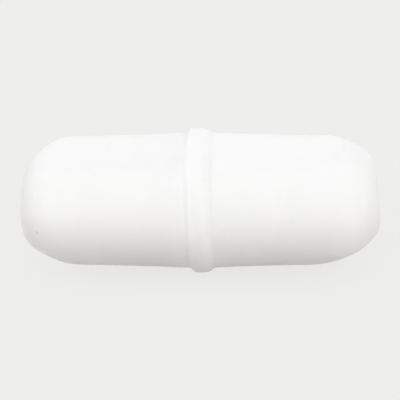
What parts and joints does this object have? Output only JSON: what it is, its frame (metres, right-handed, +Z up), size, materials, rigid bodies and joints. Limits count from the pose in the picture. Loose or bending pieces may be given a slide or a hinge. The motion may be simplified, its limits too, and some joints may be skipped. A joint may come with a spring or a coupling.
{
  "type": "magnetic stir bar",
  "caption": "White cylindrical stir bar with rounded ends and a low pivot ring round its middle, a bar magnet sealed inside.",
  "frame": {"origin": "the lowest point of the pivot ring's crest, midway between the tips, where the bar touches what it stands on", "axes": "+X along the bar, +Z up from the crest through the bar's centre, +Y across the bar"},
  "size_m": [0.0222, 0.009, 0.009],
  "materials": {
    "jacket": "smooth white PTFE with a soft sheen, slightly translucent at its edges",
    "magnet": "ground grey magnet alloy, unpainted"
  },
  "bodies": {
    "root": {"jacket": "jacket", "magnet": "magnet"}
  },
  "joints": []
}
